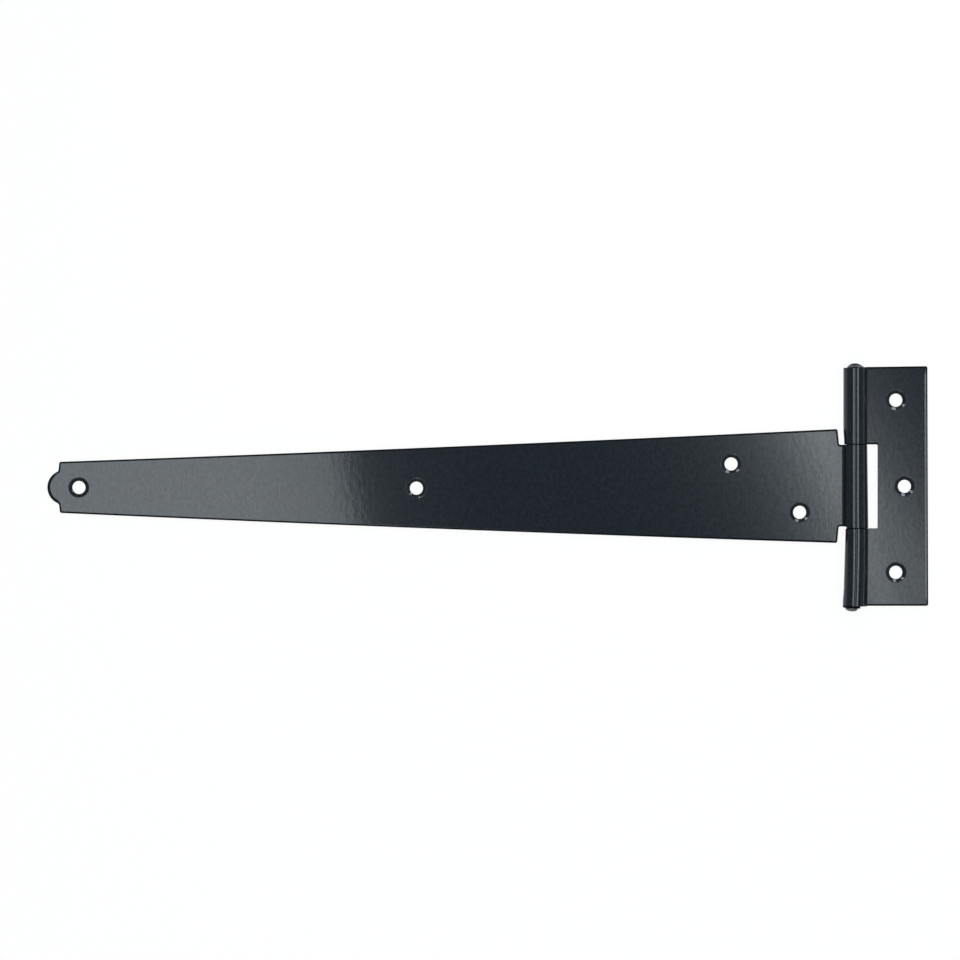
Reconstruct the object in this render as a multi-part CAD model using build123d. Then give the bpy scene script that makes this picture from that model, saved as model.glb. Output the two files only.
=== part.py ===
from build123d import *
import os
from math import cos, radians, sin, sqrt, tan

# Black tee hinge: a long tapered strap leaf, a short cross leaf and the pin that joins them.
# Sizes are in millimetres. X runs along the strap, which points to -X. Y is the pin's line.
# Z is up, out of the front. The origin is on the flat back, under the middle of the pin.

# Sheet of both leaves
sheet = 1.7
front_round = 0.35
corner_round = 0.6

# Pin and rolled knuckles
pin_dia = 4.1
pin_clearance = 0.05
roll_sweep = 300.0
middle_knuckle = 28.6
knuckle_gap = 0.2

# Cross leaf
cross_length = 82.5
cross_reach = 25.6
slot_clearance = 4.35
slot_corner = 0.4

# Strap leaf
strap_reach = 279.2
strap_root_width = 39.2
strap_tip_width = 17.7
shoulder_gap = 1.8
shoulder_slant = 0.5
root_blend = 0.5

# Round nose at the strap's tip
nose_radius = 6.0
neck_from_tip = 4.05
neck_slant = 0.55
neck_blend = 1.0

# Screw holes, countersunk from the front
hole_dia = 4.5
countersink_dia = 7.0
countersink_angle = 90.0
tip_hole_from_tip = 10.9
middle_hole_from_pin = 151.5
far_root_hole_from_pin = 42.6
far_root_hole_above = 8.0
near_root_hole_from_pin = 18.9
near_root_hole_below = 8.9
end_hole_from_end = 11.55
end_hole_from_edge = 11.2
cross_middle_hole_from_edge = 8.2

# Ends of the pin: a formed head above, and below a hammered end that was driven to one side
head_dia = 6.0
head_height = 1.3
peen_flare_dia = 6.0
peen_flare_height = 0.9
peen_dome_dia = 4.0
peen_height = 2.0
peen_shift = -1.2

# Places closer than this count as the same
same_place = 0.001

# Worked out from the sizes above
bore_radius = pin_dia / 2 + pin_clearance
barrel_radius = bore_radius + sheet
pin_z = barrel_radius
tip_x = -strap_reach
shoulder_x = -(barrel_radius + shoulder_gap)
slot_x = barrel_radius + slot_clearance
slot_width = middle_knuckle + 2 * knuckle_gap


def rolled_sheet(reach, width):
    """A sheet that lies flat from x = -reach to the pin's line and then rolls up and round the pin.

    The roll starts tangent to the back and stops short of the sheet, which leaves its open seam.
    """
    roll_end = roll_sweep - 90
    along = Vector(cos(radians(roll_end)), sin(radians(roll_end)))
    centre = Vector(0, pin_z)
    side = [
        Line((-reach, 0), (0, 0)),
        CenterArc(centre, barrel_radius, -90, roll_sweep),
        Line(centre + along * barrel_radius, centre + along * bore_radius),
        CenterArc(centre, bore_radius, -90, roll_sweep),
        Line((0, sheet), (-reach, sheet)),
        Line((-reach, sheet), (-reach, 0)),
    ]
    return extrude(Plane.XZ * make_face(side), width / 2, both=True)


def corners_at(outline, x):
    """The corners of a flat outline that lie at x."""
    return outline.vertices().filter_by(lambda corner: abs(corner.X - x) < same_place)


def strap_outline():
    """Plan of the strap: round nose, tapered blade with slanted shoulders, and the knuckle's tongue."""
    neck_x = tip_x + neck_from_tip
    neck_y = sqrt(nose_radius**2 - (nose_radius - neck_from_tip) ** 2)
    tip_corner_x = neck_x + neck_slant
    root_corner_x = shoulder_x - shoulder_slant
    upper = [
        (neck_x, neck_y),
        (tip_corner_x, strap_tip_width / 2),
        (root_corner_x, strap_root_width / 2),
        (shoulder_x, middle_knuckle / 2),
    ]
    lower = [(x, -y) for x, y in reversed(upper)]
    blade = make_face(Polyline(*upper, *lower, close=True))
    nose = Pos(tip_x + nose_radius, 0) * Circle(nose_radius)
    tongue_length = barrel_radius - root_corner_x
    tongue = Pos(barrel_radius - tongue_length / 2, 0) * Rectangle(tongue_length, middle_knuckle)
    outline = blade + nose + tongue
    for x, radius in (
        (neck_x, neck_blend),
        (tip_corner_x, corner_round),
        (root_corner_x, corner_round),
        (shoulder_x, root_blend),
    ):
        outline = fillet(corners_at(outline, x), radius)
    return outline


def cross_outline():
    """Plan of the cross leaf: a plate with a slot that clears the strap's knuckle."""
    plate_width = cross_reach + barrel_radius
    plate = Pos(cross_reach - plate_width / 2, 0) * Rectangle(plate_width, cross_length)
    slot_depth = slot_x + barrel_radius
    slot = Pos(slot_x - slot_depth / 2, 0) * Rectangle(slot_depth, slot_width)
    outline = plate - slot
    outline = fillet(corners_at(outline, cross_reach), corner_round)
    return fillet(corners_at(outline, slot_x), slot_corner)


def screw_hole(x, y):
    """Cutter for one screw hole: a straight bore and a cone that opens to the front."""
    bore = Pos(x, y, sheet / 2) * Cylinder(hole_dia / 2, 2 * sheet)
    cone_height = countersink_dia / 2 / tan(radians(countersink_angle / 2))
    cone = Pos(x, y, sheet - cone_height / 2) * Cone(0, countersink_dia / 2, cone_height)
    return bore + cone


def round_front(leaf):
    """Round the edges of the leaf's front, as its blanking die does, on into the knuckle's mouth."""
    front = leaf.faces().filter_by(Plane.XY).group_by(Axis.Z)[-1][0]
    edges = front.outer_wire().edges().filter_by(lambda edge: abs(edge.center().X) > same_place)
    return fillet(edges, front_round)


def strap_holes():
    """Places of the strap's screw holes: two on its middle line and a staggered pair at its root."""
    return [
        (tip_x + tip_hole_from_tip, 0),
        (-middle_hole_from_pin, 0),
        (-far_root_hole_from_pin, far_root_hole_above),
        (-near_root_hole_from_pin, -near_root_hole_below),
    ]


def cross_holes():
    """Places of the cross leaf's screw holes: one near each end and one beside the slot."""
    end_x = cross_reach - end_hole_from_edge
    end_y = cross_length / 2 - end_hole_from_end
    return [(end_x, end_y), (cross_reach - cross_middle_hole_from_edge, 0), (end_x, -end_y)]


def finished_leaf(blank, outline, holes):
    """Cut a rolled blank to its plan, round its front edges and cut its screw holes."""
    leaf = round_front(blank & extrude(outline, 2 * barrel_radius))
    for x, y in holes:
        leaf -= screw_hole(x, y)
    return leaf


def strap_leaf():
    """The long leaf, with its one knuckle in the middle of the pin."""
    blank = rolled_sheet(strap_reach, strap_root_width)
    return finished_leaf(blank, strap_outline(), strap_holes())


def cross_leaf():
    """The short leaf, with a knuckle at each end of the pin. It rolls from the other side."""
    blank = mirror(rolled_sheet(cross_reach, cross_length), about=Plane.YZ)
    return finished_leaf(blank, cross_outline(), cross_holes())


def dome_radius(base_radius, height):
    """Radius of the ball whose cap has this base and height."""
    return (base_radius**2 + height**2) / (2 * height)


def pin_head():
    """The formed head: a low dome that seats on the upper knuckle's end."""
    radius = head_dia / 2
    dome = make_face([
        Line((0, 0), (radius, 0)),
        RadiusArc((radius, 0), (0, head_height), -dome_radius(radius, head_height)),
        Line((0, head_height), (0, 0)),
    ])
    return revolve(dome, Axis.Y)


def peened_end():
    """The hammered end: a flare that seats on the lower knuckle's end, and a small dome on it."""
    flare = peen_flare_dia / 2
    dome = peen_dome_dia / 2
    dome_height = peen_height - peen_flare_height
    profile = make_face([
        Line((0, 0), (flare, 0)),
        RadiusArc((flare, 0), (dome, -peen_flare_height), flare),
        RadiusArc((dome, -peen_flare_height), (0, -peen_height), dome_radius(dome, dome_height)),
        Line((0, -peen_height), (0, 0)),
    ])
    return revolve(profile, Axis.Y)


def hinge_pin():
    """The pin, with its shank through all three knuckles and an end formed against each outer one."""
    half = cross_length / 2
    shank = Pos(0, 0, pin_z) * Rot(90, 0, 0) * Cylinder(pin_dia / 2, cross_length)
    head = Pos(0, half, pin_z) * pin_head()
    peen = Pos(peen_shift, -half, pin_z) * peened_end()
    return shank + head + peen


os.makedirs("parts", exist_ok=True)
for name, piece in (
    ("strap_leaf", strap_leaf()),
    ("cross_leaf", cross_leaf()),
    ("hinge_pin", hinge_pin()),
):
    export_step(piece, f"parts/{name}.step")
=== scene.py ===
"""Black tee hinge in powder-coated steel: its two leaves and its pin, dressed around the frame.

Sizes are in millimetres until a mesh is made. The frame's X runs along the strap, which points
to -X, Y is the pin's line, and Z is up, out of the front.
"""

from math import atan2, ceil, cos, hypot, pi, radians, sin, sqrt, tan

import bpy
from mathutils import Matrix, Vector
from mathutils.geometry import delaunay_2d_cdt


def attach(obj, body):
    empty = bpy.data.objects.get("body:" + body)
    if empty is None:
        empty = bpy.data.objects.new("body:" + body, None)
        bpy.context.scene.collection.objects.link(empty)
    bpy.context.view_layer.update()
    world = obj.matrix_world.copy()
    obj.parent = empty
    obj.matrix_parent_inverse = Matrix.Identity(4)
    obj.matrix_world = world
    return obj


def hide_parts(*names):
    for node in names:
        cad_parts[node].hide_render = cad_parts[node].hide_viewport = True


MM = 0.001

# Lengths and turns smaller than this count as none
NOTHING = 1e-6

# The kind of triangulation that keeps what lies inside an outline
INSIDE_ONLY = 1

# Sheet of both leaves, and the roll round the pin, which is meshed in columns along it
SHEET = 1.7
BARREL = 3.8
ROLL_RADIUS = BARREL - SHEET / 2
ROLL_COLUMNS = 100
COLUMN_DEGREES = 3.0
COLUMN = radians(COLUMN_DEGREES) * ROLL_RADIUS
ROLL_END = ROLL_COLUMNS * COLUMN
SEAM_CORNER = 2 * COLUMN

# Over this length the edges change from the plate's rounding to the roll's
ROLL_BLEND = 2.0

# Rounding of the sheet's edges: the front, the back, and both where the sheet is rolled
FRONT_ROUND = 0.70
BACK_ROUND = 0.3
ROLLED_FRONT_ROUND = 0.15
ROLLED_BACK_ROUND = 0.22
CORNER_ROUND = 0.72
ROUND_STEPS = 5
ARC_STEP = 9.0

# Gentle roll-over that the blanking die left inside the cross leaf's free edge, by degrees of turn
GENTLE_TURNS = (0.0, 4.0, 8.0, 10.0, 12.0, 14.0)
GENTLE_FIRST_ROUND = 1.2
GENTLE_MIDDLE = 8.0
GENTLE_ROUND = 6.0
GENTLE_DEGREES = 14.0

# How far from a corner it is full, and its share on the strap's nose and neck
GENTLE_START = 2.5
NOSE_GENTLE = 0.7
NECK_GENTLE = 0.3

# Painted shade: the edge is painted dark and loses its gloss where it has turned by these degrees,
# for a dark outline
EDGE_SHADE_FROM = 1.0
EDGE_SHADE_TO = 15.0

# Painted shade on the rolls' flanks: gloss taken away by a share on both, and painted dark on the
# right one, from one sine of their turn to another
FLANK_SHADE = 0.5
FLANK_FROM = 0.55
FLANK_TO = 0.8
RIGHT_FLANK_FROM = 0.90
RIGHT_FLANK_TO = 0.98

# Strap leaf: the tip with its round nose, the root with its shoulders, and the knuckle's tongue
TIP_X = -279.2
TIP_HALF = 8.85
NOSE_RADIUS = 6.0
NOSE_STEP = 3.0
LOWER_NECK_FROM_TIP = 4.0
LOWER_NECK_SLANT = 0.4
UPPER_NECK_FROM_TIP = 3.85
UPPER_NECK_SLANT = 0.25
NECK_BLEND = 1.0
ROOT_BOTTOM = 19.6
ROOT_TOP = 19.85
ROOT_X = -5.9
SHOULDER_X = -5.4
UPPER_ROOT_X = -5.8
UPPER_SHOULDER_X = -5.25
SHOULDER_BLEND = 0.5
TONGUE_TOP = 14.4
TONGUE_BOTTOM = 13.88
STRAP_HOLES = ((TIP_X + 10.9, 0.0), (-151.5, 0.0), (-42.6, 8.0), (-18.9, -8.9))

# Cross leaf
CROSS_REACH = 25.6
CROSS_HALF = 41.25
SLOT_X = 8.05
SLOT_HALF = 14.5
SLOT_CORNER = 0.4
CROSS_HOLES = ((14.4, 29.7), (17.4, 0.0), (14.4, -29.7))

# Screw holes: the rim, the cone with its degrees of turn, the throat and the back edge
HOLE_RADIUS = 2.25
RIM_RADIUS = 3.7
RIM_ROUND = 0.45
CONE_ROUND = 9.6
CONE_FROM = 34.0
CONE_TO = 42.0
THROAT_ROUND = 0.25
HOLE_BACK_ROUND = 0.1
HOLE_SIDES = 72

# Spacing of the mesh: on the plate, from its edges, along an edge, and between the roll's rows
PLATE_GRID = 5.0
GRID_MARGIN = 2.2
EDGE_STEP = 2.5
ROW_STEP = 2.4

# The grid stops this many columns before the seam
COLUMNS_BEFORE_SEAM = 5

# How the strap came off the press: its bow in its own plane and its tip's drop
STRAP_BOW = 0.45
STRAP_DROP = 0.335

# The middle knuckle is wider than its tongue from one length along the roll to another
MIDDLE_KNUCKLE_HALF = 14.47
KNUCKLE_WIDE_FROM = 1.0
KNUCKLE_WIDE_OVER = 5.0
KNUCKLE_NARROW_FROM = 11.8
KNUCKLE_NARROW_OVER = 0.6

# How far each knuckle's flanks stand out from a true round, or are nipped in
STRAP_BULGE_LEFT = 0.30
STRAP_BULGE_RIGHT = 0.62
STRAP_BULGE_SLANT = 0.18
UPPER_BULGE_LEFT = 0.22
UPPER_BULGE_RIGHT = 0.38
LOWER_BULGE_RIGHT = 0.60
UPPER_NIP = 0.30
UPPER_NIP_LENGTH = 6.0
LOWER_NIP = 0.55
LOWER_NIP_LENGTH = 18.0
LOWER_FLARE = 0.45
LOWER_FLARE_LENGTH = 8.0
LOWER_LEAN_NEAR = 0.2
LOWER_LEAN_FAR = -0.35

# How the cross leaf is out of square: its top and bottom edge, its knuckles' ends, its free edge
TOP_RISE = 0.35
BOTTOM_SHIFT = -0.10
UPPER_KNUCKLE_SHIFT = -0.30
LOWER_KNUCKLE_SHIFT = -0.20
EDGE_SLANT = 0.28
EDGE_SLANT_FROM = 18.0

# Pin: its shank, with the bareness of its coat inside the knuckles
PIN_SIDES = 72
PIN_SHARP_DEGREES = 40.0
SHANK_RADIUS = 2.05
SHANK_STEPS = 24
SHANK_BARE = 0.5

# Its formed head: a share of a ball's cap that leans as it widens, and the bevelled lip below it
HEAD_RADIUS = 3.2
HEAD_HEIGHT = 1.55
HEAD_LEAN = 0.35
HEAD_SHARE = 0.95
HEAD_LIP = 0.08
LIP_TURNS = (30, 60, 90)
DOME_STEPS = 12

# The head is painted dark at its top as shade, and a little paler at its base as a painted
# highlight, changing between these shares of the way down
HEAD_SHEEN = 0.3
HEAD_SHADE_FROM = 0.58
HEAD_SHADE_TO = 0.70

# Its hammered end: a flare with a round rim and a blunt dome, driven to one side and tilted
PEEN_RADIUS = 3.08
PEEN_FLARE = 0.6
PEEN_RIM = 0.22
PEEN_STEPS = 6
PEEN_DOME_RADIUS = 2.25
PEEN_BLUNTNESS = 0.8
PEEN_HEIGHT = 1.78
PEEN_SHIFT = -1.2
PEEN_TILT = 0.2

# Its hammer marks: their share of the radius, and how many wide and narrow ones go round
DENT_SHARE = 0.006
WIDE_DENTS = 3
WIDE_DENTS_TURN = 1.0
NARROW_DENTS = 7

# Powder coat: its colours, how dark the painted shade makes it, its gloss, and its fine orange peel
POWDER_BASE = (0.0076, 0.0120, 0.0166)
POWDER_PALE = (0.0100, 0.0148, 0.0200)
# Pale grey: the thin coat on the hammered dome, and a painted highlight round the head's base
PALE_COAT_AND_SHEEN = (0.070, 0.078, 0.074)
PAINTED_SHADE_LEVEL = 0.12
COAT_SPECULAR = 0.05
COAT_ROUGHNESS = 0.06
COAT_IOR = 1.5
LEAST_COAT = 0.84
LEAF_ROUGHNESS = (0.30, 0.42)
LEAF_PEEL = 0.0045
PIN_ROUGHNESS = (0.40, 0.55)
PIN_PEEL = 0.006
FINE_PEEL_SHARE = 0.22

# Its noise: (scale, detail) of each pattern, and how far the grain is stretched, read and spread
GRAIN = (1300.0, 2.0)
CLOUD = (45.0, 3.0)
COARSE_PEEL = (620.0, 2.0)
FINE_PEEL = (1900.0, 1.0)
NOISE_ROUGHNESS = 0.5
GRAIN_STRETCH = (1.0, 0.5, 1.0)
GRAIN_LOW = 0.3
GRAIN_HIGH = 0.7
SPECKLE_DARK = 0.75
SPECKLE_PALE = 1.25

# Floor, just below the hinge's back
FLOOR_GAP = 0.05
FLOOR_REACH = 3000.0
FLOOR_GREY = 0.97
FLOOR_ROUGHNESS = 0.9
FLOOR_GLOW = 0.93

# Camera, straight above, with the lens that shows this width of the sheet's front
CAMERA_X = -129.5
CAMERA_Y = 2.2
CAMERA_HEIGHT = 1500.0
CAMERA_SENSOR = 36.0
CAMERA_CLIP_END = 20.0
VIEW_WIDTH = 332.0

# Light: the panels' colour, and how many times its radiance by its area a panel's power is
PANEL_COLOUR = (0.90, 0.965, 1.0)
PANEL_POWER = 4

# The room's light, as (how far the view rises, colour)
ROOM_LIGHT = (
    (0.0, (0.24, 0.24, 0.24)),
    (0.25, (0.18, 0.18, 0.185)),
    (0.9, (0.04, 0.045, 0.05)),
)

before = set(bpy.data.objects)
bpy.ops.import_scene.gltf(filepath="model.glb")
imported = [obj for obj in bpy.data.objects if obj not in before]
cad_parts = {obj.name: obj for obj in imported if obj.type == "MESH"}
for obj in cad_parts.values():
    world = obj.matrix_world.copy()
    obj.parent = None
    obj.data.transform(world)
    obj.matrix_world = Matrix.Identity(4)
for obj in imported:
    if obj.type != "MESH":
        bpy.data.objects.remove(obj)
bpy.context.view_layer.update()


# Outlines in the flat sheet


def eased(value):
    """A smooth step from 0 to 1."""
    value = min(1.0, max(0.0, value))
    return value * value * (3 - 2 * value)


def rounded(corners):
    """A closed loop of (u, v, normal u, normal v, gentle) round corners (u, v, radius).

    The corners run counterclockwise. Gentle is the share of the die's wide roll-over that the edge
    has there, which corners don't have.
    """
    points = []
    for index, (u, v, radius) in enumerate(corners):
        before = Vector(corners[index - 1][:2])
        after = Vector(corners[(index + 1) % len(corners)][:2])
        here = Vector((u, v))
        way_in = (here - before).normalized()
        way_out = (after - here).normalized()
        turn = atan2(way_in.cross(way_out), way_in.dot(way_out))
        start = Vector((way_in.y, -way_in.x))
        if abs(turn) < NOTHING or radius == 0:
            points.append((u, v, start.x, start.y, 0.0))
            continue
        side = 1 if turn > 0 else -1
        reach = radius * tan(abs(turn) / 2)
        centre = here - way_in * reach - start * radius * side
        steps = max(2, ceil(abs(turn) / radians(ARC_STEP)))
        first = atan2(start.y, start.x)
        for step in range(steps + 1):
            angle = first + turn * step / steps
            normal = Vector((cos(angle), sin(angle)))
            place = centre + normal * radius * side
            points.append((place.x, place.y, normal.x, normal.y, 0.0))
    return points


def divided(loop, gentle_line=None):
    """The loop with points added on its straight runs, at the roll's columns where it is rolled.

    The runs that lie at the gentle line have the wide roll-over, except near their corners.
    """
    points = []
    for index, here in enumerate(loop):
        points.append(here)
        after = loop[(index + 1) % len(loop)]
        if abs(here[2] - after[2]) + abs(here[3] - after[3]) >= NOTHING:
            continue
        du, dv = after[0] - here[0], after[1] - here[1]
        length = hypot(du, dv)
        if max(here[0], after[0]) <= COLUMN / 2:
            pieces = ceil(length / EDGE_STEP)
        elif abs(dv) < NOTHING:
            pieces = round(length / COLUMN)
        else:
            pieces = ceil(length / ROW_STEP)
        on_gentle_line = gentle_line is not None and abs(here[0] - gentle_line) < NOTHING
        for piece in range(1, pieces):
            part = piece / pieces
            from_corner = min(part, 1 - part) * length
            gentle = eased(from_corner / GENTLE_START) if on_gentle_line else 0.0
            points.append((here[0] + du * part, here[1] + dv * part, here[2], here[3], gentle))
    return points


def nose_half(neck_from_tip, neck_slant):
    """One half of the strap's tip, drawn as the lower one, from its end to its long edge's start.

    The nose's arc meets a small arc that blends it into the slanted neck.
    """
    centre = Vector((TIP_X + NOSE_RADIUS, 0))
    neck_half = sqrt(NOSE_RADIUS**2 - (NOSE_RADIUS - neck_from_tip) ** 2)
    neck = Vector((TIP_X + neck_from_tip, -neck_half))
    corner = Vector((neck.x + neck_slant, -TIP_HALF))
    way = (corner - neck).normalized()
    away = Vector((way.y, -way.x))
    offset = neck + away * NECK_BLEND - centre
    reach = (NOSE_RADIUS + NECK_BLEND) ** 2
    along = -offset.dot(way) + sqrt(offset.dot(way) ** 2 - offset.length_squared + reach)
    blend_centre = centre + offset + way * along
    meets = blend_centre - centre
    meet_angle = atan2(meets.y, meets.x) % (2 * pi)
    points = []
    steps = ceil((meet_angle - pi) / radians(NOSE_STEP))
    for step in range(steps + 1):
        angle = pi + (meet_angle - pi) * step / steps
        normal = Vector((cos(angle), sin(angle)))
        place = centre + normal * NOSE_RADIUS
        points.append((place.x, place.y, normal.x, normal.y, NOSE_GENTLE))
    first = meet_angle - pi
    last = atan2(-away.y, -away.x) % (2 * pi)
    steps = ceil(abs(last - first) / radians(ARC_STEP))
    for step in range(1, steps + 1):
        angle = first + (last - first) * step / steps
        outward = Vector((cos(angle), sin(angle)))
        place = blend_centre + outward * NECK_BLEND
        gentle = NECK_GENTLE * (1 - step / steps)
        points.append((place.x, place.y, -outward.x, -outward.y, gentle))
    return points, corner


def strap_loop():
    """Outline of the strap leaf's flat blank, with the share of painted shade on its edge."""
    lower_nose, lower_corner = nose_half(LOWER_NECK_FROM_TIP, LOWER_NECK_SLANT)
    upper_nose, upper_corner = nose_half(UPPER_NECK_FROM_TIP, UPPER_NECK_SLANT)
    body = rounded([
        (lower_nose[-1][0], lower_nose[-1][1], 0),
        (lower_corner.x, lower_corner.y, CORNER_ROUND),
        (ROOT_X, -ROOT_BOTTOM, CORNER_ROUND),
        (SHOULDER_X, -TONGUE_BOTTOM, SHOULDER_BLEND),
        (0, -TONGUE_BOTTOM, 0),
        (ROLL_END, -TONGUE_BOTTOM, SEAM_CORNER),
        (ROLL_END, TONGUE_TOP, SEAM_CORNER),
        (0, TONGUE_TOP, 0),
        (UPPER_SHOULDER_X, TONGUE_TOP, SHOULDER_BLEND),
        (UPPER_ROOT_X, ROOT_TOP, CORNER_ROUND),
        (upper_corner.x, -upper_corner.y, CORNER_ROUND),
        (upper_nose[-1][0], -upper_nose[-1][1], 0),
    ])[1:-1]
    mirrored = [(u, -v, nu, -nv, gentle) for u, v, nu, nv, gentle in reversed(upper_nose)]
    return [(*point, 1.0) for point in divided(lower_nose + body + mirrored[:-1])]


def cross_outline_shade(u, v):
    """The share of painted shade on the cross leaf's edge: none on the slot's inner and lower wall.
    """
    if u < -SLOT_X - COLUMN or abs(v) > SLOT_HALF + COLUMN:
        return 1.0
    if v > 0:
        return eased((v - SLOT_HALF + SLOT_CORNER) / SLOT_CORNER)
    return eased(u / ROLL_BLEND - 1)


def cross_loop():
    """Outline of the cross leaf's flat blank and its painted edge shade, before it is turned to
    point to +X.
    """
    loop = divided(rounded([
        (-CROSS_REACH, -CROSS_HALF, CORNER_ROUND),
        (0, -CROSS_HALF, 0),
        (ROLL_END, -CROSS_HALF, SEAM_CORNER),
        (ROLL_END, -SLOT_HALF, SEAM_CORNER),
        (0, -SLOT_HALF, 0),
        (-SLOT_X, -SLOT_HALF, SLOT_CORNER),
        (-SLOT_X, SLOT_HALF, SLOT_CORNER),
        (0, SLOT_HALF, 0),
        (ROLL_END, SLOT_HALF, SEAM_CORNER),
        (ROLL_END, CROSS_HALF, SEAM_CORNER),
        (0, CROSS_HALF, 0),
        (-CROSS_REACH, CROSS_HALF, CORNER_ROUND),
    ]), gentle_line=-CROSS_REACH)
    return [(*point, cross_outline_shade(point[0], point[1])) for point in loop]


# Sheet meshes


def edge_shade_at(turn):
    """How much painted shade an edge has where it has turned by so many degrees, from 0 to 1."""
    return eased((turn - EDGE_SHADE_FROM) / (EDGE_SHADE_TO - EDGE_SHADE_FROM))


def arc_profile(arcs, turn):
    """Inset still to come and drop so far, in degrees of turn along arcs (radius, from, to)."""
    inset = 0.0
    drop = 0.0
    for radius, first, last in arcs:
        reached = radians(min(max(turn, first), last))
        inset += radius * (sin(radians(last)) - sin(reached))
        drop += radius * (cos(radians(first)) - cos(reached))
    return inset, drop


def front_arcs(radius, gentle):
    """Arcs of the rounded front edge, with a share of the gentle roll-over before them."""
    return (
        (radius + (GENTLE_FIRST_ROUND - radius) * gentle, 0.0, GENTLE_MIDDLE),
        (radius + (GENTLE_ROUND - radius) * gentle, GENTLE_MIDDLE, GENTLE_DEGREES),
        (radius, GENTLE_DEGREES, 90.0),
    )


def edge_point(spot, turn, inset, height, shade_and_wear):
    """A ring's (point, normal, painted shade) at a spot of the outline, where the edge has turned
    so far.
    """
    u, v, nu, nv = spot[:4]
    aside, up = sin(radians(turn)), cos(radians(turn))
    return (u - nu * inset, v - nv * inset, height), (nu * aside, nv * aside, up), shade_and_wear


def front_ring(loop, turn):
    """The ring on the rounded front edge where it has turned by so many degrees."""
    ring = []
    for spot in loop:
        u, _, _, _, gentle, outline_shade = spot
        # Edges without painted shade, on the slot's walls, are rounded as tightly as the roll
        crisp = max(eased(u / ROLL_BLEND), 1 - outline_shade)
        radius = FRONT_ROUND + (ROLLED_FRONT_ROUND - FRONT_ROUND) * crisp
        inset, drop = arc_profile(front_arcs(radius, gentle), turn)
        # Painted shade: the edge is darkened where the outline has it
        shade_and_wear = outline_shade * edge_shade_at(turn - GENTLE_DEGREES * gentle)
        ring.append(edge_point(spot, turn, inset, SHEET - drop, shade_and_wear))
    return ring


def back_ring(loop, turn):
    """The ring on the rounded back edge where it has turned by so many degrees, from 90 to 180."""
    angle = radians(turn)
    ring = []
    for spot in loop:
        u, _, _, _, _, outline_shade = spot
        radius = BACK_ROUND + (ROLLED_BACK_ROUND - BACK_ROUND) * eased(u / ROLL_BLEND)
        inset, height = radius * (1 - sin(angle)), radius * (1 + cos(angle))
        # The back edge gets painted shade as well
        ring.append(edge_point(spot, turn, inset, height, outline_shade * edge_shade_at(180 - turn)))
    return ring


def edge_rings(loop):
    """Rings of (point, normal, painted shade) down the sheet's edge: round the front, then the
    back.
    """
    steep = 90 - GENTLE_DEGREES
    steps = range(1, ROUND_STEPS + 1)
    front_turns = [GENTLE_DEGREES + steep * step / ROUND_STEPS for step in steps]
    back_turns = [90 + 90 * step / ROUND_STEPS for step in range(ROUND_STEPS + 1)]
    rings = [front_ring(loop, turn) for turn in (*GENTLE_TURNS, *front_turns)]
    return rings + [back_ring(loop, turn) for turn in back_turns]


def hole_rings(centre_u, centre_v):
    """Rings of (point, normal, painted shade) down a screw hole, clockwise: rim, cone, throat, back
    edge.
    """
    arcs = (
        (RIM_ROUND, 0.0, CONE_FROM),
        (CONE_ROUND, CONE_FROM, CONE_TO),
        (THROAT_ROUND, CONE_TO, 90.0),
    )
    profile = []
    for _, first, last in arcs:
        for step in range(1 if first > 0 else 0, ROUND_STEPS + 1):
            turn = first + (last - first) * step / ROUND_STEPS
            inset, drop = arc_profile(arcs, turn)
            profile.append((HOLE_RADIUS + inset, SHEET - drop, radians(turn)))
    for step in range(ROUND_STEPS + 1):
        angle = radians(90 + 90 * step / ROUND_STEPS)
        out = HOLE_RADIUS + HOLE_BACK_ROUND * (1 - sin(angle))
        profile.append((out, HOLE_BACK_ROUND * (1 + cos(angle)), angle))
    rings = []
    for out, height, angle in profile:
        ring = []
        for side in range(HOLE_SIDES):
            way = -2 * pi * side / HOLE_SIDES
            place = (centre_u + out * cos(way), centre_v + out * sin(way), height)
            normal = (-cos(way) * sin(angle), -sin(way) * sin(angle), cos(angle))
            ring.append((place, normal, 0.0))
        rings.append(ring)
    return rings


def distance_to_run(point, start, end):
    """Distance in the plane from a point to a straight run."""
    run = end - start
    part = min(1.0, max(0.0, (point - start).dot(run) / run.length_squared))
    return (point - start - run * part).length


def is_inside(point, loop):
    """Whether a point lies inside a loop, by the runs that a ray from it crosses."""
    inside = False
    for index, here in enumerate(loop):
        before = loop[index - 1]
        if (here.y > point.y) != (before.y > point.y):
            crossing = before.x + (point.y - before.y) * (here.x - before.x) / (here.y - before.y)
            if point.x < crossing:
                inside = not inside
    return inside


def grid_points(loop, holes, bands):
    """Points to mesh the sheet's faces through: an even grid on the plate, columns on the roll."""
    points = []
    outline = [Vector(point[:2]) for point in loop]
    lowest_u = min(point.x for point in outline)
    highest_v = max(point.y for point in outline)
    row_gap = PLATE_GRID * sqrt(3) / 2
    rows = ceil(highest_v / row_gap)
    for row in range(-rows, rows + 1):
        u = lowest_u + PLATE_GRID * (0.5 if row % 2 else 1.0)
        while u < -PLATE_GRID / 2:
            point = Vector((u, row * row_gap))
            u += PLATE_GRID
            if not is_inside(point, outline):
                continue
            runs = zip(outline, outline[1:] + outline[:1])
            if min(distance_to_run(point, start, end) for start, end in runs) < GRID_MARGIN:
                continue
            hole_gap = min((point - Vector(hole)).length for hole in holes)
            if hole_gap > RIM_RADIUS + GRID_MARGIN:
                points.append(point)
    for low, high in bands:
        count = ceil((high - low) / ROW_STEP)
        for column in range(ROLL_COLUMNS - COLUMNS_BEFORE_SEAM):
            for row in range(1, count):
                points.append(Vector((column * COLUMN, low + (high - low) * row / count)))
    return points


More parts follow.
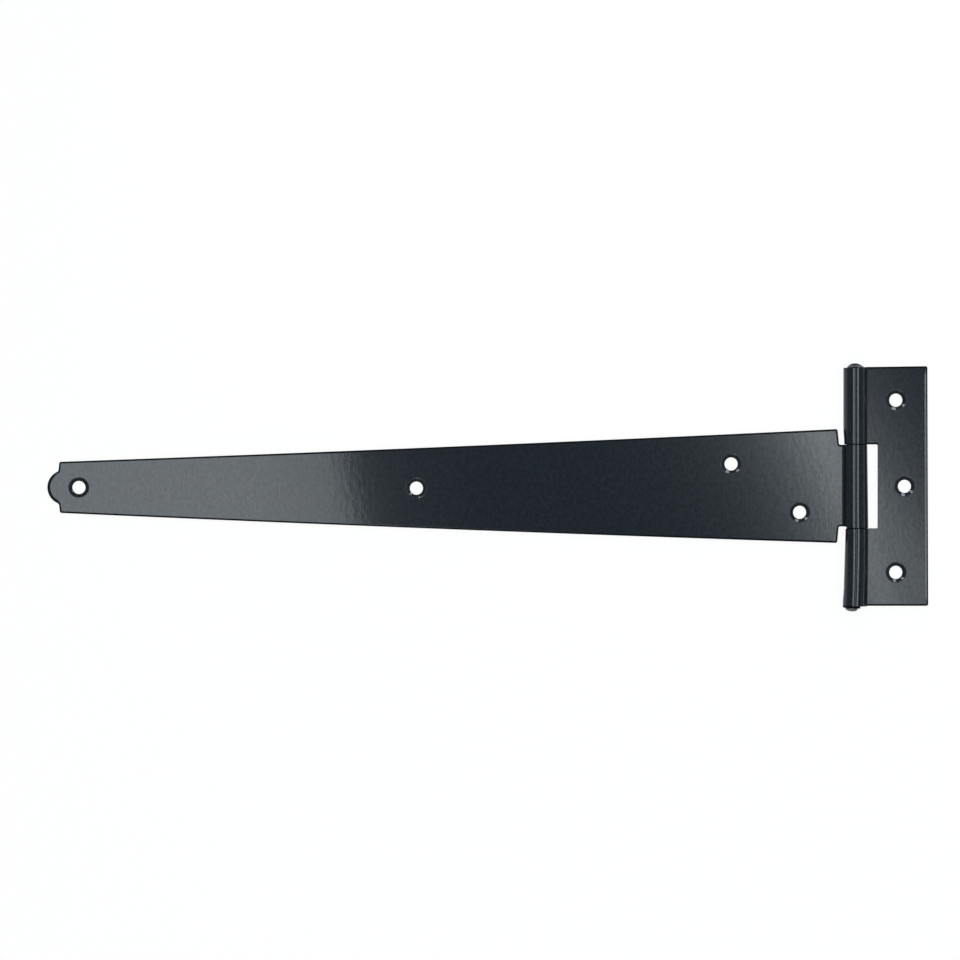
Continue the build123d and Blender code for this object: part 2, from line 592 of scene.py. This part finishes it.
def face_triangles(rings, grid):
    """Triangles over one face of the sheet, as indices into its rings and then its grid."""
    places = []
    edges = []
    owners = []
    for owner, ring in enumerate(rings):
        first = len(places)
        places += [Vector(place[:2]) for place, _, _ in ring]
        edges += [(first + index, first + (index + 1) % len(ring)) for index in range(len(ring))]
        owners += [owner] * len(ring)
    places += grid
    owners += [0] * len(grid)
    _, _, faces, origins, _, _ = delaunay_2d_cdt(places, edges, [], INSIDE_ONLY, NOTHING)
    triangles = []
    for face in faces:
        corners = [origins[corner][0] for corner in face]
        spanned = {owners[corner] for corner in corners}
        in_a_hole = len(spanned) == 1 and spanned != {0}
        if not in_a_hole:
            triangles.append(corners)
    return triangles


def rolled(place, normal):
    """Bend a point of the flat sheet, and its normal, round the pin's line."""
    u, v, w = place
    if u <= 0:
        return place, normal
    angle = u / ROLL_RADIUS
    radius = BARREL - w
    nu, nv, nw = normal
    bent = (radius * sin(angle), v, BARREL - radius * cos(angle))
    return bent, (nu * cos(angle) - nw * sin(angle), nv, nu * sin(angle) + nw * cos(angle))


def flank_shade(sideways):
    """How much painted shade the roll has where its surface has turned to one side, by the sine of
    its turn.
    """
    either = eased((abs(sideways) - FLANK_FROM) / (FLANK_TO - FLANK_FROM))
    right = eased((sideways - RIGHT_FLANK_FROM) / (RIGHT_FLANK_TO - RIGHT_FLANK_FROM))
    return FLANK_SHADE * either + (1 - FLANK_SHADE) * right


def placed(name, data):
    """A new object in the scene."""
    thing = bpy.data.objects.new(name, data)
    bpy.context.collection.objects.link(thing)
    return thing


def coated(name, places, faces, shades_and_wear):
    """A smooth piece in the scene, that carries its painted shade and its coat's wear at each
    point.
    """
    mesh = bpy.data.meshes.new(name)
    mesh.from_pydata([place * MM for place in places], [], faces)
    mesh.shade_smooth()
    mesh.attributes.new("shade_and_wear", "FLOAT", "POINT").data.foreach_set("value", shades_and_wear)
    return placed(name, mesh)


def add_rings(rings, vertices, faces):
    """Add rings of points, with faces between them. Returns each ring's first index."""
    starts = []
    for ring in rings:
        starts.append(len(vertices))
        vertices.extend(ring)
    count = len(rings[0])
    for upper, lower in zip(starts, starts[1:]):
        for index in range(count):
            after = (index + 1) % count
            faces.append((upper + index, lower + index, lower + after, upper + after))
    return starts


def sheet_piece(name, loop, holes, bands, settle, turned=False):
    """A mesh of one leaf from the outline of its blank. A turned leaf points to +X."""
    vertices = []
    faces = []
    bounds = [edge_rings(loop)] + [hole_rings(u, v) for u, v in holes]
    starts = [add_rings(rings, vertices, faces) for rings in bounds]
    grid = grid_points(loop, holes, bands)
    for end, height, up in ((0, SHEET, 1), (-1, 0.0, -1)):
        rings = [bound[end] for bound in bounds]
        names = []
        for start, ring in zip(starts, rings):
            names += range(start[end], start[end] + len(ring))
        names += range(len(vertices), len(vertices) + len(grid))
        vertices.extend(((point.x, point.y, height), (0, 0, up), 0.0) for point in grid)
        for triangle in face_triangles(rings, grid):
            corners = [names[corner] for corner in triangle]
            faces.append(corners if up > 0 else corners[::-1])

    side = -1 if turned else 1
    places = []
    normals = []
    shades_and_wear = []
    for flat, normal, shade_and_wear in vertices:
        place, normal = rolled(flat, normal)
        # The rolls' flanks get painted shade as well
        if flat[0] > 0:
            shade_and_wear = max(shade_and_wear, flank_shade(side * sin(flat[0] / ROLL_RADIUS)))
        places.append(settle(Vector((side * place[0], place[1], place[2])), flat[0]))
        normals.append(Vector((side * normal[0], normal[1], normal[2])).normalized())
        shades_and_wear.append(shade_and_wear)
    if turned:
        faces = [face[::-1] for face in faces]
    piece = coated(name, places, faces, shades_and_wear)
    piece.data.normals_split_custom_set_from_vertices(normals)
    return piece


def settle_strap(place, u):
    """Give a point of the strap leaf its place on the slightly uneven real leaf."""
    if place.x < ROOT_X:
        part = (place.x - ROOT_X) / (TIP_X - ROOT_X)
        place.y -= STRAP_BOW * 4 * part * (1 - part) + STRAP_DROP * part
    if u > 0:
        tongue = TONGUE_TOP if place.y > 0 else TONGUE_BOTTOM
        wider = eased((u - KNUCKLE_WIDE_FROM) / KNUCKLE_WIDE_OVER)
        wider -= eased((u - KNUCKLE_NARROW_FROM) / KNUCKLE_NARROW_OVER)
        place.y *= 1 + (MIDDLE_KNUCKLE_HALF / tongue - 1) * wider
        sideways = sin(atan2(place.x, place.z - BARREL))
        right = STRAP_BULGE_RIGHT - STRAP_BULGE_SLANT * place.y / MIDDLE_KNUCKLE_HALF
        place.x += (right if sideways > 0 else STRAP_BULGE_LEFT) * sideways**3
    return place


def upper_knuckle(place, sideways):
    """How far the upper knuckle moves a point in X: it bulges, and is nipped near the slot."""
    if sideways > 0:
        return UPPER_BULGE_RIGHT * sideways**3
    nip = UPPER_NIP * eased(1 - (place.y - SLOT_HALF) / UPPER_NIP_LENGTH)
    return (UPPER_BULGE_LEFT - nip) * sideways**3


def lower_knuckle(place, sideways):
    """How far the lower knuckle moves a point in X: it bulges, is nipped or flared, and leans."""
    bulge = LOWER_BULGE_RIGHT
    if sideways <= 0:
        near = 1 - (-SLOT_HALF - place.y) / LOWER_NIP_LENGTH
        far = (-CROSS_HALF + LOWER_FLARE_LENGTH - place.y) / LOWER_FLARE_LENGTH
        bulge = LOWER_FLARE * eased(far) - LOWER_NIP * min(1.0, max(0.0, near))
    moved = bulge * sideways**3
    depth = hypot(place.x + moved, place.z - BARREL) - (BARREL - SHEET)
    outer = min(1.0, max(0.0, depth / SHEET)) * place.z / (2 * BARREL)
    along = (-SLOT_HALF - place.y) / (CROSS_HALF - SLOT_HALF)
    lean = LOWER_LEAN_NEAR + (LOWER_LEAN_FAR - LOWER_LEAN_NEAR) * along**2
    return moved + outer * (1 + min(0.0, sideways)) * lean


def settle_cross(place, u):
    """Give a point of the cross leaf its place on the slightly uneven real leaf."""
    upper = place.y > 0
    past_slot = eased((abs(place.y) - SLOT_HALF) / (CROSS_HALF - SLOT_HALF))
    plate_shift = TOP_RISE * max(0.0, place.x / CROSS_REACH) if upper else BOTTOM_SHIFT
    knuckle_shift = UPPER_KNUCKLE_SHIFT if upper else LOWER_KNUCKLE_SHIFT
    shift = plate_shift + (knuckle_shift - plate_shift) * eased(u / ROLL_BLEND)
    if u > 0:
        sideways = sin(atan2(place.x, place.z - BARREL))
        place.x += (upper_knuckle if upper else lower_knuckle)(place, sideways)
    elif place.x > EDGE_SLANT_FROM:
        slant = ((place.x - EDGE_SLANT_FROM) / (CROSS_REACH - EDGE_SLANT_FROM)) ** 2
        place.x -= EDGE_SLANT * slant * (1 + place.y / CROSS_HALF) / 2
    place.y += shift * past_slot
    return place


# Pin


def head_rings(upper_end):
    """Rings (y, radius, shift, shade) down the pin's head: the dome, painted dark at its top and
    paler at its base, then the lip that seats it.
    """
    ball = (HEAD_RADIUS**2 + HEAD_HEIGHT**2) / (2 * HEAD_HEIGHT)
    ball_centre = upper_end + HEAD_HEIGHT - ball
    widest = atan2(HEAD_RADIUS, ball - HEAD_HEIGHT)
    rings = []
    for step in range(1, DOME_STEPS + 1):
        part = HEAD_SHARE * step / DOME_STEPS
        angle = widest * part
        # Painted shade at the head's top, giving way to a painted highlight at its base
        paler = eased((part - HEAD_SHADE_FROM) / (HEAD_SHADE_TO - HEAD_SHADE_FROM))
        shade_and_wear = 1 - (1 + HEAD_SHEEN) * paler
        y = ball_centre + ball * cos(angle)
        rings.append((y, ball * sin(angle), HEAD_LEAN * part**3, shade_and_wear))
    lip_radius = ball * sin(widest * HEAD_SHARE) - HEAD_LIP
    for turn in LIP_TURNS:
        lip = HEAD_LIP * cos(radians(turn))
        rings.append((upper_end + lip, lip_radius + lip, HEAD_LEAN, 0.0))
    return rings


def hammered_rings(lower_end):
    """Rings (y, radius, shift, shade and wear) down the hammered end: the flare's rim, painted dark
    as shade, then the dome, pale where its coat is thin.
    """
    rings = []
    for step in range(PEEN_STEPS + 1):
        angle = pi * step / PEEN_STEPS
        y = lower_end - PEEN_FLARE * (1 - cos(angle)) / 2
        rings.append((y, PEEN_RADIUS - PEEN_RIM * (1 - sin(angle)), PEEN_SHIFT, 1.0))
    for step in range(DOME_STEPS):
        angle = pi / 2 * (1 - step / DOME_STEPS)
        y = lower_end - PEEN_HEIGHT + (PEEN_HEIGHT - PEEN_FLARE) * (1 - cos(angle))
        rings.append((y, PEEN_DOME_RADIUS * sin(angle) ** PEEN_BLUNTNESS, PEEN_SHIFT, -1.0))
    return rings


def pin_rings(upper_end, lower_end):
    """Rings (y, radius, shift, shade and wear) down the whole pin, from the head to the hammered
    end.
    """
    rings = head_rings(upper_end)
    for step in range(SHANK_STEPS + 1):
        part = step / SHANK_STEPS
        y = upper_end * (1 - part) + lower_end * part
        shade_and_wear = 1.0 if step in (0, SHANK_STEPS) else SHANK_BARE
        rings.append((y, SHANK_RADIUS, 0.0, shade_and_wear))
    return rings + hammered_rings(lower_end)


def pin_piece(name):
    """The pin: a shank with a formed dome at its upper end and a hammered one at its lower end."""
    upper_end = CROSS_HALF + UPPER_KNUCKLE_SHIFT
    lower_end = -CROSS_HALF + LOWER_KNUCKLE_SHIFT
    rings = pin_rings(upper_end, lower_end)
    vertices = [Vector((0, upper_end + HEAD_HEIGHT, BARREL))]
    shades_and_wear = [1.0]
    for y, radius, shift, shade_and_wear in rings:
        for side in range(PIN_SIDES):
            way = 2 * pi * side / PIN_SIDES
            dents = 0.0
            if y < lower_end:
                marks = sin(WIDE_DENTS * way + WIDE_DENTS_TURN) + sin(NARROW_DENTS * way + y)
                dents = DENT_SHARE * (2 + marks)
            across = radius * (1 - dents) * sin(way)
            up = radius * (1 - dents) * cos(way)
            tilt = PEEN_TILT * eased((lower_end - y) / PEEN_FLARE) * across / PEEN_RADIUS
            vertices.append(Vector((shift + across, y - tilt, BARREL + up)))
            shades_and_wear.append(shade_and_wear)
    last = len(vertices)
    vertices.append(Vector((PEEN_SHIFT, lower_end - PEEN_HEIGHT, BARREL)))
    shades_and_wear.append(-1.0)
    faces = []
    foot = 1 + (len(rings) - 1) * PIN_SIDES
    for side in range(PIN_SIDES):
        after = (side + 1) % PIN_SIDES
        faces.append((0, 1 + side, 1 + after))
        for upper in range(1, foot, PIN_SIDES):
            lower = upper + PIN_SIDES
            faces.append((upper + side, lower + side, lower + after, upper + after))
        faces.append((foot + side, last, foot + after))
    piece = coated(name, vertices, faces, shades_and_wear)
    piece.data.set_sharp_from_angle(angle=radians(PIN_SHARP_DEGREES))
    return piece


# Materials


def noise(tree, coordinates, pattern):
    """The value of a noise texture with a (scale, detail) pattern, over the coordinates given."""
    texture = tree.nodes.new("ShaderNodeTexNoise")
    texture.inputs["Scale"].default_value, texture.inputs["Detail"].default_value = pattern
    texture.inputs["Roughness"].default_value = NOISE_ROUGHNESS
    tree.links.new(coordinates, texture.inputs["Vector"])
    return texture.outputs["Fac"]


def remap(tree, source, low, high, to_low, to_high):
    """A value taken from one range to another, and held at its ends."""
    node = tree.nodes.new("ShaderNodeMapRange")
    node.inputs["From Min"].default_value = low
    node.inputs["From Max"].default_value = high
    node.inputs["To Min"].default_value = to_low
    node.inputs["To Max"].default_value = to_high
    tree.links.new(source, node.inputs["Value"])
    return node.outputs["Result"]


def worked_out(tree, operation, *values):
    """What a sum gives, from other nodes' values and plain numbers."""
    node = tree.nodes.new("ShaderNodeMath")
    node.operation = operation
    for value, socket in zip(values, node.inputs):
        if isinstance(value, float):
            socket.default_value = value
        else:
            tree.links.new(value, socket)
    return node.outputs[0]


def mixed(tree, factor, first, second):
    """A mix of two colours, which are other nodes' or (red, green, blue)."""
    node = tree.nodes.new("ShaderNodeMix")
    node.data_type = "RGBA"
    tree.links.new(factor, node.inputs["Factor"])
    for name, colour in (("A", first), ("B", second)):
        if isinstance(colour, tuple):
            node.inputs[name].default_value = (*colour, 1)
        else:
            tree.links.new(colour, node.inputs[name])
    return node.outputs["Result"]


def ramped(tree, source, stops):
    """The colour that a value has on a ramp of (position, colour) stops, eased between them."""
    node = tree.nodes.new("ShaderNodeValToRGB")
    node.color_ramp.interpolation = "EASE"
    elements = node.color_ramp.elements
    elements.remove(elements[1])
    for index, (position, colour) in enumerate(stops):
        element = elements.new(position) if index else elements[0]
        element.position = position
        element.color = (*colour, 1)
    tree.links.new(source, node.inputs["Fac"])
    return node.outputs["Color"]


def bumped(tree, height, distance, under=None):
    """The normal of a surface with this height on it, over another normal where one is given."""
    node = tree.nodes.new("ShaderNodeBump")
    node.inputs["Strength"].default_value = 1.0
    node.inputs["Distance"].default_value = distance
    tree.links.new(height, node.inputs["Height"])
    if under is not None:
        tree.links.new(under, node.inputs["Normal"])
    return node.outputs["Normal"]


def separated(tree, source, axis):
    """One axis of a vector."""
    split = tree.nodes.new("ShaderNodeSeparateXYZ")
    tree.links.new(source, split.inputs["Vector"])
    return split.outputs[axis]


def powder_coat(name, roughness, peel):
    """Satin black powder coat with fine orange peel, a little uneven in colour and gloss."""
    material = bpy.data.materials.new(name)
    material.use_nodes = True
    tree = material.node_tree
    shader = tree.nodes["Principled BSDF"]
    place = tree.nodes.new("ShaderNodeTexCoord").outputs["Object"]
    stretch = tree.nodes.new("ShaderNodeMapping")
    stretch.inputs["Scale"].default_value = GRAIN_STRETCH
    tree.links.new(place, stretch.inputs["Vector"])
    streaked = stretch.outputs["Vector"]
    attribute = tree.nodes.new("ShaderNodeAttribute")
    attribute.attribute_name = "shade_and_wear"
    shade_and_wear = attribute.outputs["Fac"]

    # Colour: cloudy and speckled, painted darker as shade on edges, flanks and the head's top, and
    # pale where the dome's coat is thin and where a highlight is painted round the head's base
    grain = noise(tree, streaked, GRAIN)
    tint = mixed(tree, noise(tree, place, CLOUD), POWDER_BASE, POWDER_PALE)
    speckle = remap(tree, grain, GRAIN_LOW, GRAIN_HIGH, SPECKLE_DARK, SPECKLE_PALE)
    shade = remap(tree, shade_and_wear, FLANK_SHADE, 1.0, 1.0, PAINTED_SHADE_LEVEL)
    coloured = tree.nodes.new("ShaderNodeVectorMath")
    coloured.operation = "SCALE"
    tree.links.new(tint, coloured.inputs[0])
    tree.links.new(worked_out(tree, "MULTIPLY", speckle, shade), coloured.inputs["Scale"])
    paler = remap(tree, shade_and_wear, -1.0, 0.0, 1.0, 0.0)
    colour = mixed(tree, paler, coloured.outputs["Vector"], PALE_COAT_AND_SHEEN)
    tree.links.new(colour, shader.inputs["Base Color"])

    # Gloss: a clear sheen over it, taken away where shade is painted, and halved where the shank's
    # coat is worn
    gloss = remap(tree, grain, GRAIN_LOW, GRAIN_HIGH, *roughness)
    tree.links.new(gloss, shader.inputs["Roughness"])
    sheen = remap(tree, grain, GRAIN_LOW, GRAIN_HIGH, LEAST_COAT, 1.0)
    covered = remap(tree, shade_and_wear, 0.0, 1.0, 1.0, 0.0)
    tree.links.new(worked_out(tree, "MULTIPLY", sheen, covered), shader.inputs["Coat Weight"])
    shader.inputs["Specular IOR Level"].default_value = COAT_SPECULAR
    shader.inputs["Coat Roughness"].default_value = COAT_ROUGHNESS
    shader.inputs["Coat IOR"].default_value = COAT_IOR

    # Orange peel: a coarse one with a fine one on it
    coarse = bumped(tree, noise(tree, streaked, COARSE_PEEL), peel * MM)
    fine = bumped(tree, noise(tree, streaked, FINE_PEEL), peel * MM * FINE_PEEL_SHARE, coarse)
    tree.links.new(fine, shader.inputs["Normal"])
    tree.links.new(fine, shader.inputs["Coat Normal"])
    return material


def floor_material():
    """A white floor with a faint shadow, that shows as white to the camera and in reflections."""
    material = bpy.data.materials.new("pale_floor")
    material.use_nodes = True
    tree = material.node_tree
    shader = tree.nodes["Principled BSDF"]
    shader.inputs["Base Color"].default_value = (FLOOR_GREY, FLOOR_GREY, FLOOR_GREY, 1)
    shader.inputs["Roughness"].default_value = FLOOR_ROUGHNESS
    shader.inputs["Specular IOR Level"].default_value = 0.0
    white = tree.nodes.new("ShaderNodeEmission")
    white.inputs["Strength"].default_value = 1.0
    rays = tree.nodes.new("ShaderNodeLightPath").outputs
    seen = rays["Is Camera Ray"]
    for name in ("Is Glossy Ray", "Is Transmission Ray"):
        seen = worked_out(tree, "MAXIMUM", seen, rays[name])
    mix = tree.nodes.new("ShaderNodeMixShader")
    tree.links.new(worked_out(tree, "MULTIPLY", seen, FLOOR_GLOW), mix.inputs["Fac"])
    tree.links.new(shader.outputs["BSDF"], mix.inputs[1])
    tree.links.new(white.outputs["Emission"], mix.inputs[2])
    tree.links.new(mix.outputs["Shader"], tree.nodes["Material Output"].inputs["Surface"])
    return material


# The pieces

strap_bands = [(-TONGUE_BOTTOM, TONGUE_TOP)]
strap = sheet_piece("strap_leaf_coated", strap_loop(), STRAP_HOLES, strap_bands, settle_strap)
turned_holes = [(-x, y) for x, y in CROSS_HOLES]
cross_bands = [(-CROSS_HALF, -SLOT_HALF), (SLOT_HALF, CROSS_HALF)]
cross = sheet_piece(
    "cross_leaf_coated", cross_loop(), turned_holes, cross_bands, settle_cross, turned=True
)
pin = pin_piece("hinge_pin_coated")

leaf_coat = powder_coat("black_powder_coat", LEAF_ROUGHNESS, LEAF_PEEL)
pin_coat = powder_coat("black_pin_coat", PIN_ROUGHNESS, PIN_PEEL)
for piece, material in ((strap, leaf_coat), (cross, leaf_coat), (pin, pin_coat)):
    piece.data.materials.append(material)

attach(strap, "strap")
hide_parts("strap_leaf")
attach(cross, "cross")
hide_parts("cross_leaf")
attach(pin, "cross")
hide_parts("hinge_pin")

# The CAD nodes stay underneath as the hinge's solids, and wear the same coat
coats = {"strap_leaf": leaf_coat, "cross_leaf": leaf_coat, "hinge_pin": pin_coat}
for node, material in coats.items():
    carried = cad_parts[node]
    carried.data.materials.clear()
    carried.data.materials.append(material)


# Floor and camera

floor_mesh = bpy.data.meshes.new("floor")
floor_corners = [
    (x * FLOOR_REACH * MM, y * FLOOR_REACH * MM, -FLOOR_GAP * MM)
    for x, y in ((-1, -1), (1, -1), (1, 1), (-1, 1))
]
floor_mesh.from_pydata(floor_corners, [], [(0, 1, 2, 3)])
floor_mesh.materials.append(floor_material())
floor = placed("floor", floor_mesh)

camera_data = bpy.data.cameras.new("camera")
camera_data.sensor_width = CAMERA_SENSOR
camera_data.lens = CAMERA_SENSOR * (CAMERA_HEIGHT - SHEET) / VIEW_WIDTH
camera_data.clip_end = CAMERA_CLIP_END
camera = placed("camera", camera_data)
camera.location = (CAMERA_X * MM, CAMERA_Y * MM, CAMERA_HEIGHT * MM)
bpy.context.scene.camera = camera


# Light


def panel(name, centre, size, radiance, aim=(0.0, 0.0, 0.0), roll=0.0):
    """A soft light panel. Its centre and aim are in millimetres from the floor below the camera."""
    data = bpy.data.lights.new(name, "AREA")
    data.shape = "RECTANGLE"
    data.size = size[0] * MM
    data.size_y = size[1] * MM
    data.energy = PANEL_POWER * data.size * data.size_y * radiance
    data.color = PANEL_COLOUR
    lamp = placed(name, data)
    place = Vector(centre)
    lamp.location = (Vector((CAMERA_X, CAMERA_Y, 0.0)) + place) * MM
    back = (place - Vector(aim)).normalized()
    length_way = Vector((-sin(radians(roll)), cos(radians(roll)), 0.0))
    width_way = length_way.cross(back).normalized()
    turn = Matrix((width_way, back.cross(width_way), back)).transposed()
    lamp.rotation_euler = turn.to_euler()
    lamp.visible_camera = False
    return lamp


def across(lamp):
    """The lamp's own shader nodes, and its place across the panel from 0 to 1."""
    lamp.data.use_nodes = True
    tree = lamp.data.node_tree
    place = tree.nodes.new("ShaderNodeNewGeometry").outputs["Parametric"]
    return tree, separated(tree, place, "X")


def shares_across(lamp, shares):
    """Let the panel's light follow (millimetres across it, share) pairs, eased between them."""
    tree, place = across(lamp)
    stops = [(distance * MM / lamp.data.size, (share,) * 3) for distance, share in shares]
    tree.links.new(ramped(tree, place, stops), tree.nodes["Emission"].inputs["Strength"])


def fade_from_line(lamp, line, share_before, share_after):
    """Let the panel's light fall off on both sides of a line, by e for each share of its width."""
    tree, place = across(lamp)
    sides = []
    for share in (share_before, -share_after):
        from_line = worked_out(tree, "SUBTRACT", place, line)
        sides.append(worked_out(tree, "EXPONENT", worked_out(tree, "DIVIDE", from_line, share)))
    least = worked_out(tree, "MINIMUM", *sides)
    tree.links.new(least, tree.nodes["Emission"].inputs["Strength"])


left = panel(
    "panel_left",
    centre=(-295, 0, 1500), size=(570, 2600), radiance=3.05, aim=(-295, 0, 0), roll=13.0,
)
shares_across(left, (
    (0, 0.55), (230, 0.75), (270, 1.0), (400, 1.0), (463, 0.84),
    (475, 0.84), (490, 0.06), (540, 0.02), (570, 0.0),
))
wide_gleam = panel(
    "panel_wide_gleam",
    centre=(253, 0, 1500), size=(320, 500), radiance=3.1, aim=(253, 0, 0), roll=19.0,
)
fade_from_line(wide_gleam, line=0.5, share_before=0.078, share_after=0.018)
low_gleam = panel(
    "panel_low_gleam",
    centre=(263, 0, 1485), size=(320, 500), radiance=2.1, aim=(263, 0, 0), roll=32.0,
)
fade_from_line(low_gleam, line=0.5, share_before=0.100, share_after=0.090)
panel("panel_right", centre=(917, 0, 1500), size=(400, 2600), radiance=3.2, aim=(130, 0, 0))
for side in (-1, 1):
    panel(f"panel_fill_{side}", centre=(0, side * 1700, 1500), size=(1500, 900), radiance=2.0)
panel("low_right", centre=(216, 228, 62), size=(85, 90), radiance=5.0, aim=(100, 0, 0))
panel("low_left", centre=(-102, 228, 135), size=(95, 125), radiance=5.0, aim=(498, 168, 0))

# The room is dim to the hinge, and white to the camera
world = bpy.data.worlds.new("studio")
bpy.context.scene.world = world
world.use_nodes = True
tree = world.node_tree
direction = tree.nodes.new("ShaderNodeTexCoord").outputs["Generated"]
room = ramped(tree, separated(tree, direction, "Z"), ROOM_LIGHT)
from_camera = tree.nodes.new("ShaderNodeLightPath").outputs["Is Camera Ray"]
backdrop = mixed(tree, from_camera, room, (1, 1, 1))
tree.links.new(backdrop, tree.nodes["Background"].inputs["Color"])

bpy.context.scene.view_settings.view_transform = "Standard"

bpy.context.view_layer.update()
